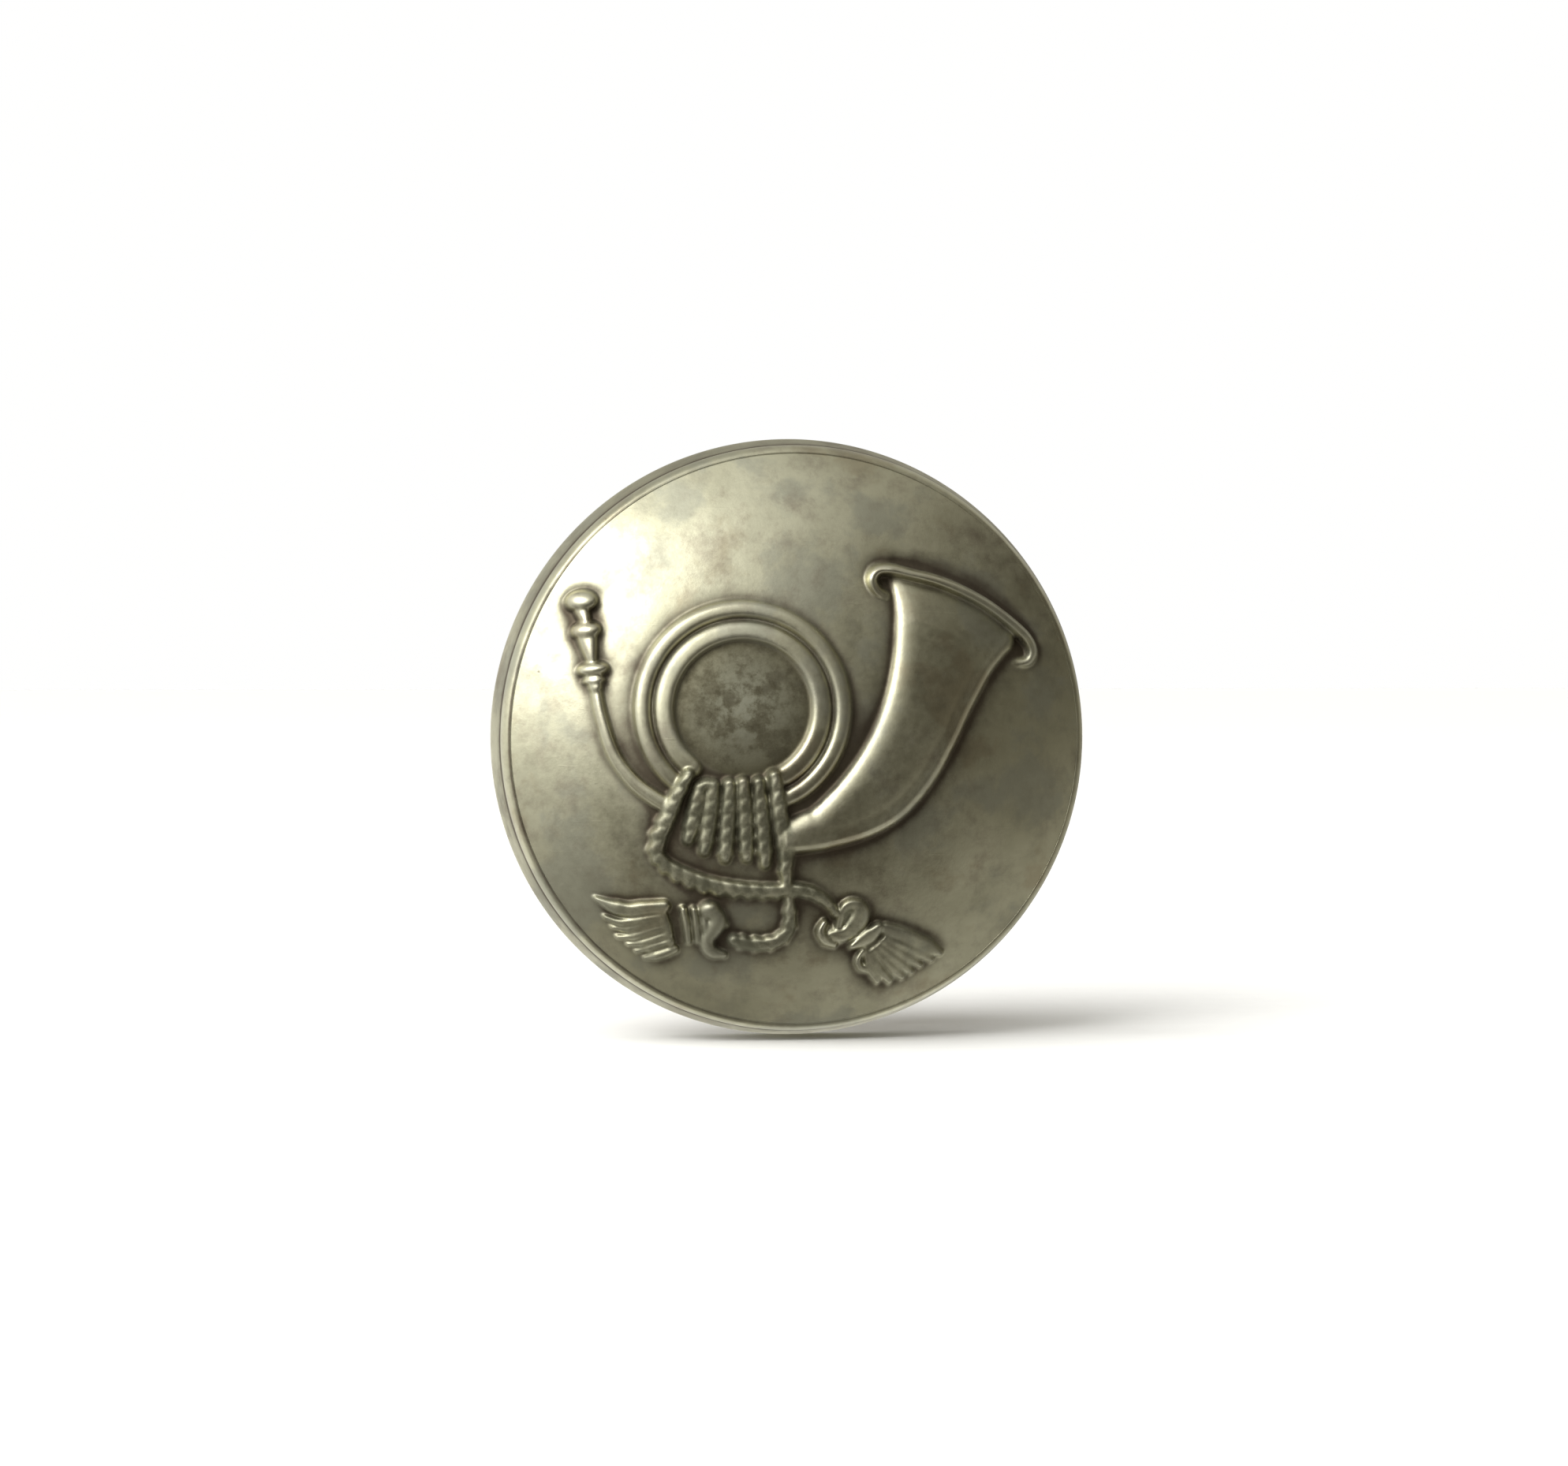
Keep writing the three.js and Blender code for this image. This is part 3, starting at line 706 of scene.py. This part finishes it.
def rim_inside():
    """Rows of (inset from the rim, y) from the turned edge up the inside of the wall and under the dome."""
    wall = [(1.75, -SHEET), (0.55, -SHEET), (0.42, -0.6), (0.5, -1.1), (0.78, -2.05)]
    dome_radii = [share * SEAM_RADIUS for share in (0.97, 0.85, 0.7, 0.5, 0.3, 0.1)]
    return wall + [(BADGE_RADIUS - radius, dome_y(radius) + SHEET) for radius in dome_radii]


def shell_rings(angles):
    """Rings of (points, darkening) behind the seam, slightly dented and darkest at the lower left."""
    phases = np.random.default_rng(11).uniform(0, 2 * math.pi, 6)
    dents = sum(np.sin((k + 2) * angles + phase) / (k + 2) for k, phase in enumerate(phases))
    # Darker towards the lower left.
    lower_left_darkening = np.clip(0.55 + 0.4 * np.cos(angles - math.radians(195)) + 0.25 * dents, 0.05, 1)
    rings = []
    for inset, y, dark in rim_outside():
        radius = BADGE_RADIUS - inset + 0.012 * dents * (y > -2.9)
        patina_and_shade = dark * (lower_left_darkening if y < -2.4 else np.ones(len(angles)))
        rings.append((ring(radius, y, angles), patina_and_shade))
    coarse = angles[::4]
    for inset, y in rim_inside():
        rings.append((ring(BADGE_RADIUS - inset, y, coarse), np.ones(len(coarse))))
    return rings


def ring(radius, y, angles, centre=(0, 0)):
    """Points round a line along Y through centre. radius is a number or one number for each angle."""
    return np.stack([
        centre[0] + radius * np.cos(angles),
        np.full(len(angles), y),
        centre[1] + radius * np.sin(angles),
    ], 1)


def bridge(first, second):
    """Faces between two rings of points. The second may have a whole number of times fewer points."""
    times = len(first) // len(second)
    count = len(second)
    faces = []
    for i in range(count):
        near = [int(first[(i * times + k) % len(first)]) for k in range(times + 1)]
        faces.append([int(second[i]), *near, int(second[(i + 1) % count])])
    return faces


def make_shell():
    """The struck shell: the face's grid, then rings from its edge round the rim and back under the dome."""
    relief = make_relief()
    y, marks = face_shape(relief)
    points = [np.stack([relief.x.ravel(), y.ravel(), relief.z.ravel()], 1)]
    patina_and_shade = [marks.pop("patina_and_shade").ravel()]
    total = y.size
    index = np.arange(total).reshape(y.shape)
    corners = [index[:-1, :-1], index[:-1, 1:], index[1:, 1:], index[1:, :-1]]
    faces = np.stack(corners, -1).reshape(-1, 4).tolist()
    loop = np.concatenate([index[0, :-1], index[:-1, -1], index[-1, :0:-1], index[:0:-1, 0]])
    angles = np.arctan2(relief.z.ravel()[loop], relief.x.ravel()[loop])
    for ring_points, ring_darkening in shell_rings(angles):
        points.append(ring_points)
        patina_and_shade.append(ring_darkening)
        new = np.arange(total, total + len(ring_points))
        total += len(ring_points)
        faces += bridge(loop, new)
        loop = new
    faces.append(loop[::-1].tolist())
    shell = mesh_object("struck_shell", np.vstack(points), faces)
    add_attribute(shell, "patina_and_shade", np.concatenate(patina_and_shade))
    for name, field in marks.items():
        add_attribute(shell, name, np.pad(field.ravel(), (0, total - field.size)))
    fit(shell, "front_shell", "badge", nickel_silver())


# ---- Metals ----


def silver_textures(n, place):
    """The noises of the face's metal, from broad to fine, and where it is grimy with painted shade, panned,
    dull or pitted.
    """
    elsewhere = n.add("ShaderNodeMapping", inputs={"Vector": place, "Location": (0.3, 0.1, 0.2)}).outputs[0]
    blotches = n.noise(place, 420.0, 6.0, 0.65)
    uneven = n.math("MULTIPLY", n.attribute("patina_and_shade"), n.fade(blotches, 0.2, 0.7, 0.75, 1.2))
    return SimpleNamespace(
        broad=n.noise(place, 130.0, 4.0),
        clouds=n.noise(elsewhere, 250.0, 5.0, 0.6),
        blotches=blotches,
        speckle=n.noise(place, 1100.0, 5.0, 0.7),
        grain=n.noise(place, 2600.0, 4.0, 0.7),
        # Grimy hollows and painted shade round the relief, made uneven by the blotches.
        grime_and_shade=n.fade(uneven, 0.05, 0.95, 0.0, 0.92),
        pan=n.attribute("pan"),
        dull=n.attribute("dull"),
        pits=n.fade(n.noise(place, 1500.0, 2.0, 0.5), 0.77, 0.82, 0.0, 0.6),
    )


def silver_colour(n, t):
    """Pale metal under patches of tarnish, brown in the hollows from soiling and painted shade, and paler on
    the ridges.
    """
    metal = n.mix(n.fade(t.broad, 0.35, 0.65), (0.71, 0.695, 0.525), (0.57, 0.555, 0.405))
    metal = n.mix(n.fade(t.clouds, 0.5, 0.62, 0, 0.6), metal, (0.44, 0.445, 0.37))
    metal = n.mix(n.fade(t.clouds, 0.44, 0.34, 0, 0.65), metal, (0.50, 0.445, 0.31))
    tarnish = n.mix(n.fade(t.broad, 0.4, 0.6), (0.36, 0.31, 0.24), (0.40, 0.39, 0.30))
    metal = n.mix(n.fade(t.blotches, 0.5, 0.75, 0, 0.65), metal, tarnish)
    metal = n.mix(n.fade(t.speckle, 0.45, 0.75, 0, 0.45), metal, tarnish)
    # The brown of the soiling and of the painted shade.
    brown = n.mix(t.grain, (0.075, 0.057, 0.042), (0.14, 0.11, 0.08))
    colour = n.mix(t.grime_and_shade, metal, brown)
    return n.mix(n.math("MULTIPLY", n.attribute("worn"), 0.35), colour, (0.76, 0.73, 0.63))


def with_pan(n, t, colour):
    """Adds the stained disc inside the coil, with its scoured middle."""
    flecks = n.math("MULTIPLY", n.math("ADD", t.blotches, t.speckle), 0.5)
    stained = n.mix(n.fade(flecks, 0.4, 0.58), (0.14, 0.127, 0.083), (0.23, 0.217, 0.145))
    scoured = n.math("MULTIPLY", n.attribute("scoured"), n.fade(flecks, 0.45, 0.56))
    stained = n.mix(scoured, stained, (0.40, 0.40, 0.315))
    return n.mix(n.math("MULTIPLY", t.pan, n.fade(t.grain, 0.25, 0.75, 0.8, 1.0)), colour, stained)


def silver_roughness(n, t):
    """Satin, rougher under the grimy, painted-shade mark and where there is tarnish, and on the pan, cord and
    tassels.
    """
    rough = n.math("ADD", n.fade(t.broad, 0.3, 0.7, 0.34, 0.42), n.math("MULTIPLY", t.grime_and_shade, 0.25))
    rough = n.math("ADD", rough, n.fade(t.grain, 0.3, 0.7, -0.03, 0.05))
    rough = n.math("ADD", rough, n.math("MULTIPLY", n.math("MAXIMUM", t.pan, t.dull), 0.15))
    return n.math("ADD", rough, n.fade(t.clouds, 0.4, 0.62, -0.03, 0.08))


def nickel_silver():
    """Tarnished white metal: satin, olive-brown in the hollows from soiling and painted shade, pale where
    handling has worn it.
    """
    material, n, shader, place = new_material("nickel_silver")
    t = silver_textures(n, place)
    colour = with_pan(n, t, silver_colour(n, t))
    muted = n.math("MULTIPLY", t.dull, n.fade(t.speckle, 0.35, 0.6, 0.3, 0.75))
    colour = n.mix(muted, colour, (0.2, 0.203, 0.142))
    n.put(shader, "Base Color", n.mix(t.pits, colour, (0.12, 0.095, 0.07)))
    n.put(shader, "Roughness", silver_roughness(n, t))
    shader.inputs["Metallic"].default_value = 1
    scratched = n.bump(scratch_field(n, place), 0.07, 0.00002)
    grained = n.bump(t.grain, 0.35, 0.00002, scratched)
    n.put(shader, "Normal", n.bump(t.pits, 0.3, 0.00002, grained, invert=True))
    return material


def scratch_field(n, place):
    """Thin straight scratches in three directions."""
    total = None
    for angle, scale in ((20, 260.0), (75, 300.0), (140, 220.0)):
        turn = n.add("ShaderNodeMapping", inputs={"Vector": place})
        turn.inputs["Rotation"].default_value = (0, math.radians(angle), 0)
        turn.inputs["Scale"].default_value = (1, 1, 22)
        line = n.fade(n.noise(turn.outputs[0], scale, 2.0, 0.5), 0.7, 0.76)
        total = line if total is None else n.math("MAXIMUM", total, line)
    return total


def brass(name, bright, dull, dark, roughness, turned=0.0):
    """Brass with handling marks: colours of its bright, dull and dark patches, and its least roughness.

    turned is the strength of fine rings round the badge's axis, as a lathe leaves.
    """
    material, n, shader, place = new_material(name)
    axes = n.add("ShaderNodeSeparateXYZ", inputs={0: place}).outputs
    broad = n.noise(place, 190.0, 4.0)
    blotches = n.noise(place, 700.0, 6.0, 0.65)
    grain = n.noise(place, 3000.0, 3.0, 0.6)
    wear = n.attribute("wear")
    colour = n.mix(n.fade(broad, 0.35, 0.65), bright, dull)
    colour = n.mix(n.fade(blotches, 0.55, 0.78, 0, 0.75), colour, dark)
    colour = n.mix(n.fade(wear, -0.1, -1, 0, 0.85), colour, dark)
    colour = n.mix(n.fade(wear, 0.1, 1, 0, 0.5), colour, tuple(min(1, 1.2 * c) for c in bright))
    n.put(shader, "Base Color", colour)
    shader.inputs["Metallic"].default_value = 1
    rough = n.math("ADD", n.fade(blotches, 0.3, 0.75, roughness - 0.05, roughness + 0.2),
                   n.fade(grain, 0.3, 0.7, -0.03, 0.04))
    n.put(shader, "Roughness", rough)
    radius = n.math("SQRT", n.math("ADD", n.math("MULTIPLY", axes[0], axes[0]),
                                   n.math("MULTIPLY", axes[2], axes[2])))
    rings = n.add("ShaderNodeCombineXYZ", inputs={0: radius, 1: n.math("MULTIPLY", axes[1], 0.6)}).outputs[0]
    lathed = n.bump(n.noise(rings, 9000.0, 2.0), 0.5 * turned, 0.00003)
    scratched = n.bump(scratch_field(n, place), 0.3, 0.00003, lathed)
    n.put(shader, "Normal", n.bump(grain, 0.3, 0.00002, scratched))
    return material


def pasteboard():
    """Brown card with matted fibres and a few stains."""
    material, n, shader, place = new_material("pasteboard")
    fibres = n.noise(place, 2200.0, 6.0, 0.7)
    stains = n.noise(place, 150.0, 3.0)
    colour = n.mix(fibres, (0.36, 0.27, 0.17), (0.55, 0.44, 0.3))
    n.put(shader, "Base Color", n.mix(n.fade(stains, 0.5, 0.7, 0, 0.5), colour, (0.25, 0.17, 0.1)))
    n.put(shader, "Roughness", n.fade(fibres, 0.3, 0.7, 0.85, 0.98))
    n.put(shader, "Normal", n.bump(fibres, 0.6, 0.00005))
    return material


# ---- Turned, stamped and threaded pieces behind the face ----

TURN = 180  # points round a plain turned piece
THREAD_TURN = 96  # points round a threaded one
THREAD_STEP = 0.035  # distance along Y between the rings of a thread
SHANK = 1.5
PITCH = 0.5
THREAD_DEPTH = 0.28
KNURLS = 52
KNURL_DEPTH = 0.2
PLATE_SHEET = 0.5


def rounded(profile, radius, closed=True):
    """The profile with each corner cut to a curve that begins about radius away from it."""
    corners = [np.asarray(q, float) for q in profile]
    rows = []
    for i, corner in enumerate(corners):
        if not closed and i in (0, len(corners) - 1):
            rows.append(corner)
            continue
        before, after = corners[i - 1] - corner, corners[(i + 1) % len(corners)] - corner
        back, ahead = np.hypot(*before), np.hypot(*after)
        reach = min(radius, back * 0.4, ahead * 0.4)
        start = corner + before / back * reach
        end = corner + after / ahead * reach
        rows.append(corner + before / back * reach * 1.2)
        for t in (0, 0.25, 0.5, 0.75, 1):
            rows.append((1 - t) ** 2 * start + 2 * t * (1 - t) * corner + t**2 * end)
        rows.append(corner + after / ahead * reach * 1.2)
    return rows


def turned_piece(name, rows, centre=(0, 0), turns=TURN, shape=None, closed=True):
    """Rows of (radius, y) turned round a line along Y through centre.

    shape(radius, y, angles) gives the radius at each angle where the piece isn't round. The attribute wear is
    1 on outer corners, which handling keeps bright, and -1 in inner corners and grooves, where soiling stays.
    """
    angles = np.arange(turns) * 2 * math.pi / turns
    profile = np.array([tuple(row) for row in rows])
    behind = profile - np.roll(profile, 1, 0)
    ahead = np.roll(profile, -1, 0) - profile
    bend = np.arctan2(behind[:, 0] * ahead[:, 1] - behind[:, 1] * ahead[:, 0], (behind * ahead).sum(1))
    rings = []
    wear = []
    for (radius, y), corner in zip(rows, bend):
        real_radius = np.full(turns, shape(radius, y, angles) if shape else radius)
        rings.append(ring(real_radius, y, angles, centre))
        wear.append(np.clip(corner / 0.3 - 4 * np.clip(radius - real_radius, 0, None), -1, 1))
    count = len(rows)
    faces = []
    for k in range(count if closed else count - 1):
        near, far = k * turns, (k + 1) % count * turns
        for i in range(turns):
            j = (i + 1) % turns
            faces.append((near + i, far + i, far + j, near + j))
    if not closed:
        faces.append(list(range(turns)))
        faces.append([(count - 1) * turns + i for i in range(turns)][::-1])
    obj = mesh_object(name, np.vstack(rings), faces)
    add_attribute(obj, "wear", np.concatenate(wear))
    return obj


def fit(obj, node, body, material):
    """Gives a piece its material and lets it stand for a CAD node on a body."""
    obj.data.materials.append(material)
    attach(obj, body)
    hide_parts(node)


def thread(y, angles):
    """0 on the crest of a right-hand thread along +Y and 1 in its root."""
    phase = np.mod(y / PITCH + angles / (2 * math.pi), 1)
    return np.clip((np.abs(2 * phase - 1) - 0.14) / 0.6, 0, 1)


def make_back_plate(material):
    """A plate with a flange at its edge, set forward so that the turned edge of the shell can grip it."""
    low, high = node_box("back_plate")
    flat = high.x - 1.7
    rim_rear = low.y + PLATE_SHEET
    rows = rounded([
        (1.6, -PLATE_SHEET), (flat - 0.2, -PLATE_SHEET), (flat + 0.3, low.y), (high.x, low.y),
        (high.x, rim_rear), (flat + 0.42, rim_rear), (flat, 0), (2.5, 0), (2.3, -0.05), (1.6, -0.05),
    ], 0.12)
    fit(turned_piece("spun_back_plate", rows), "back_plate", "badge", material)


def make_stud(material):
    """A headed stud whose thread runs out near the back plate and is chamfered at the tip."""
    low, high = node_box("threaded_stud")
    head, tip = high.x, high.y
    chamfer = 0.35
    thread_start = 0.35

    def screw(radius, y, angles):
        fade = np.clip((y - thread_start) / 0.5, 0, 1)
        root = SHANK - THREAD_DEPTH * fade * thread(y, angles)
        return np.minimum(radius, root) if y > thread_start else radius

    rows = [(0.3, low.y), (head, low.y), (head, -1.0), (SHANK, -1.0), (SHANK, 0)]
    rows = rounded(rows, 0.15, closed=False)
    rows += [(SHANK, y) for y in np.arange(0.1, tip - chamfer, THREAD_STEP)]
    rows += [(SHANK - (y - tip + chamfer), y) for y in np.linspace(tip - chamfer, tip, 9)]
    rows += [(0.9, tip), (0.4, tip - 0.03)]
    stud = turned_piece("screw_stud", rows, turns=THREAD_TURN, shape=screw, closed=False)
    fit(stud, "threaded_stud", "badge", material)


def make_pin(name, node, phase, material):
    """A blunt pin in a low puddle of solder. phase turns the puddle's uneven outline."""
    low, high = node_box(node)
    centre = ((low.x + high.x) / 2, (low.z + high.z) / 2)
    foot, tip = (high.x - low.x) / 2, high.y

    def puddle(radius, y, angles):
        uneven = 0.035 * np.sin(2 * angles + phase) + 0.02 * np.sin(5 * angles + 2 * phase)
        return radius * (1 + uneven * min(max((radius - 0.46) / 0.4, 0), 1))

    solder = [(foot * 0.4, 0.0), (foot * 0.96, 0.0), (foot * 0.99, 0.02), (foot * 0.98, 0.06),
              (foot * 0.93, 0.1), (0.72, 0.15), (0.6, 0.21), (0.53, 0.28), (0.485, 0.38), (0.46, 0.5)]
    point = rounded([(0.45, 0.52), (0.45, tip - 0.7), (0.3, tip - 0.2), (0.12, tip)], 0.12, closed=False)
    pin = turned_piece(name, solder + point, centre, turns=48, shape=puddle, closed=False)
    fit(pin, node, "badge", material)


def make_clamp_plate(material):
    """A round plate dished towards the nut, with a hole for the stud."""
    low, high = node_box("clamp_plate")
    rim = high.x
    middle_front = high.y - PLATE_SHEET
    rim_rear = low.y + PLATE_SHEET
    rows = rounded([
        (1.58, middle_front), (3.2, middle_front), (6.0, low.y), (rim - 0.1, low.y), (rim, low.y + 0.1),
        (rim, rim_rear - 0.1), (rim - 0.1, rim_rear), (6.1, rim_rear), (3.3, high.y), (1.58, high.y),
    ], 0.3)
    fit(turned_piece("dished_clamp_plate", rows), "clamp_plate", "clamp", material)


def make_nut_disc(material):
    """The knurled disc, with a raised ring round its middle and a raised edge."""
    low, high = node_box("nut_disc")
    edge = high.x
    recess = high.y - 0.1

    def knurled(radius, y, angles):
        groove = (0.5 - 0.5 * np.cos(KNURLS * angles)) ** 1.4
        share = min(max((radius - edge + 0.6) / 0.3, 0), 1)
        return radius - KNURL_DEPTH * share * groove

    rows = rounded([
        (2.3, low.y), (edge - 0.12, low.y), (edge, low.y + 0.12), (edge, high.y - 0.12),
        (edge - 0.12, high.y), (edge - 0.75, high.y), (edge - 0.95, recess), (3.35, recess),
        (3.15, high.y), (2.3, high.y),
    ], 0.07)
    disc = turned_piece("knurled_disc", rows, turns=KNURLS * 10, shape=knurled)
    fit(disc, "nut_disc", "nut", material)


def make_nut_bush(material):
    """The tapped bush: a flange against the clamp plate, a neck through the disc and a riveted collar."""
    low, high = node_box("nut_bush")
    flange = low.y + 0.27
    collar = high.y - 0.35
    bore = 1.58
    neck = 2.25

    def tapped(radius, y, angles):
        inside = radius < bore + 0.01 and low.y + 0.2 < y < high.y - 0.2
        return radius + (0.14 * (1 - thread(y, angles)) if inside else 0)

    outside = rounded([
        (bore, low.y + 0.1), (bore + 0.1, low.y), (high.x, low.y), (high.x, flange), (neck, flange),
        (neck, collar), (2.6, collar), (2.6, high.y - 0.1), (2.45, high.y), (bore + 0.28, high.y),
        (bore, high.y - 0.2),
    ], 0.08, closed=False)
    inside = [(bore, y) for y in np.arange(high.y - 0.22, low.y + 0.12, -THREAD_STEP)]
    bush = turned_piece("riveted_bush", outside + inside, turns=THREAD_TURN, shape=tapped)
    fit(bush, "nut_bush", "nut", material)


def main():
    """Camera, room and light, then each piece with its metal."""
    bpy.context.scene.view_settings.view_transform = "Standard"
    make_camera()
    make_world()
    make_floor()
    make_window()
    make_daylight()
    make_shell()
    aged = brass("aged_brass", (0.50, 0.39, 0.20), (0.42, 0.33, 0.18), (0.16, 0.11, 0.06), 0.34)
    turned = brass("stud_brass", (0.68, 0.53, 0.27), (0.56, 0.43, 0.21), (0.2, 0.13, 0.06), 0.3, 0.3)
    stamped = brass("clamp_brass", (0.58, 0.45, 0.24), (0.48, 0.37, 0.2), (0.18, 0.12, 0.06), 0.32, 0.2)
    handled = brass("nut_brass", (0.66, 0.51, 0.26), (0.54, 0.42, 0.21), (0.18, 0.12, 0.06), 0.3, 0.6)
    make_back_plate(aged)
    make_stud(turned)
    make_pin("left_soldered_pin", "left_locating_pin", 2.1, turned)
    make_pin("right_soldered_pin", "right_locating_pin", 4.2, turned)
    make_clamp_plate(stamped)
    make_nut_disc(handled)
    make_nut_bush(handled)
    for node, material in (("reinforcing_washer", aged), ("packing_card", pasteboard())):
        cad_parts[node].data.materials.clear()
        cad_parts[node].data.materials.append(material)


main()
